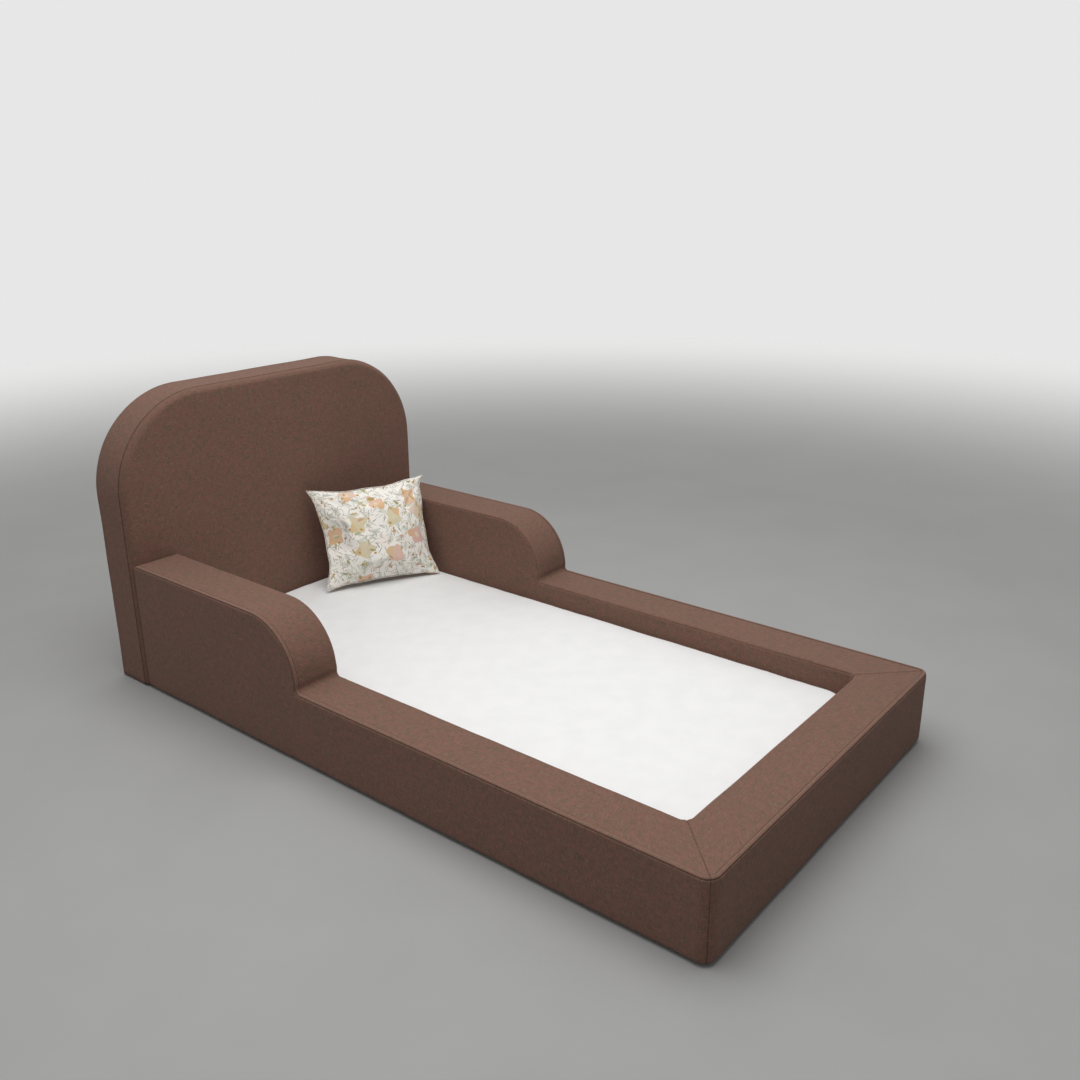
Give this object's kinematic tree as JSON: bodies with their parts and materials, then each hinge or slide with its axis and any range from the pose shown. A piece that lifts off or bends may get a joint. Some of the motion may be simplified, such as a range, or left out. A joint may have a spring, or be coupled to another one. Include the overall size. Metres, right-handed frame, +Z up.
{
  "type": "upholstered toddler floor bed",
  "caption": "Low padded floor bed with a guard on each side, a tall round-cornered headboard, a slatted deck, a loose mattress with a fitted sheet and a loose cushion.",
  "frame": {"origin": "on the floor, under the middle of the frame", "axes": "+Z up, +Y from the foot to the headboard, +X to the right of someone who looks from the foot to the headboard"},
  "size_m": [1.2, 2.202, 0.92],
  "materials": {
    "cover_fabric": "woven melange, brown",
    "upholstery_foam": "open-cell foam, cream",
    "board_ply": "birch plywood, bare",
    "pine": "planed pine, bare",
    "card": "hardboard, bare",
    "beech": "turned beech",
    "zinc_steel": "zinc plated",
    "glide_plastic": "moulded, black",
    "mattress_foam": "open-cell foam, white",
    "ticking": "knitted ticking, off-white",
    "sheet_cotton": "plain cotton, white",
    "elastic": "braided elastic, white",
    "cushion_fill": "fibre in a thin white inner",
    "cushion_print": "plain weave with a printed leaf pattern"
  },
  "bodies": {
    "bed": {"block_screws": "zinc_steel", "centre_beam": "pine", "corner_blocks": "pine", "cross_ledgers": "pine", "foot_rail_card": "card", "foot_rail_cover": "cover_fabric", "foot_rail_inner_board": "board_ply", "foot_rail_inner_foam": "upholstery_foam", "foot_rail_outer_board": "board_ply", "foot_rail_outer_foam": "upholstery_foam", "foot_rail_spacers": "pine", "foot_rail_top_foam": "upholstery_foam", "frame_bolts": "zinc_steel", "glides": "glide_plastic", "head_dowels": "beech", "headboard_back_cover": "cover_fabric", "headboard_back_panel": "board_ply", "headboard_edge_foam": "upholstery_foam", "headboard_front_cover": "cover_fabric", "headboard_front_foam": "upholstery_foam", "headboard_front_panel": "board_ply", "headboard_gusset": "cover_fabric", "headboard_posts": "pine", "headboard_rails": "pine", "headboard_rim": "board_ply", "headboard_studs": "pine", "insert_nuts": "zinc_steel", "ledger_screws": "zinc_steel", "left_rail_card": "card", "left_rail_cover": "cover_fabric", "left_rail_inner_board": "board_ply", "left_rail_inner_foam": "upholstery_foam", "left_rail_outer_board": "board_ply", "left_rail_outer_foam": "upholstery_foam", "left_rail_spacers": "pine", "left_rail_top_foam": "upholstery_foam", "right_rail_card": "card", "right_rail_cover": "cover_fabric", "right_rail_inner_board": "board_ply", "right_rail_inner_foam": "upholstery_foam", "right_rail_outer_board": "board_ply", "right_rail_outer_foam": "upholstery_foam", "right_rail_spacers": "pine", "right_rail_top_foam": "upholstery_foam", "side_ledgers": "pine", "slat_screws": "zinc_steel", "slats": "pine", "washers": "zinc_steel"},
    "mattress": {"mattress_core": "mattress_foam", "mattress_cover": "ticking", "fitted_sheet": "sheet_cotton", "sheet_elastic": "elastic"},
    "cushion": {"cushion_insert": "cushion_fill", "cushion_case": "cushion_print"}
  },
  "joints": [
    {"name": "mattress_lift", "type": "slide", "parent": "bed", "child": "mattress", "axis": [0, 0, 1], "range_m": [0, 0.4]},
    {"name": "cushion_lift", "type": "slide", "parent": "mattress", "child": "cushion", "axis": [0, 0, 1], "range_m": [0, 0.36]}
  ]
}
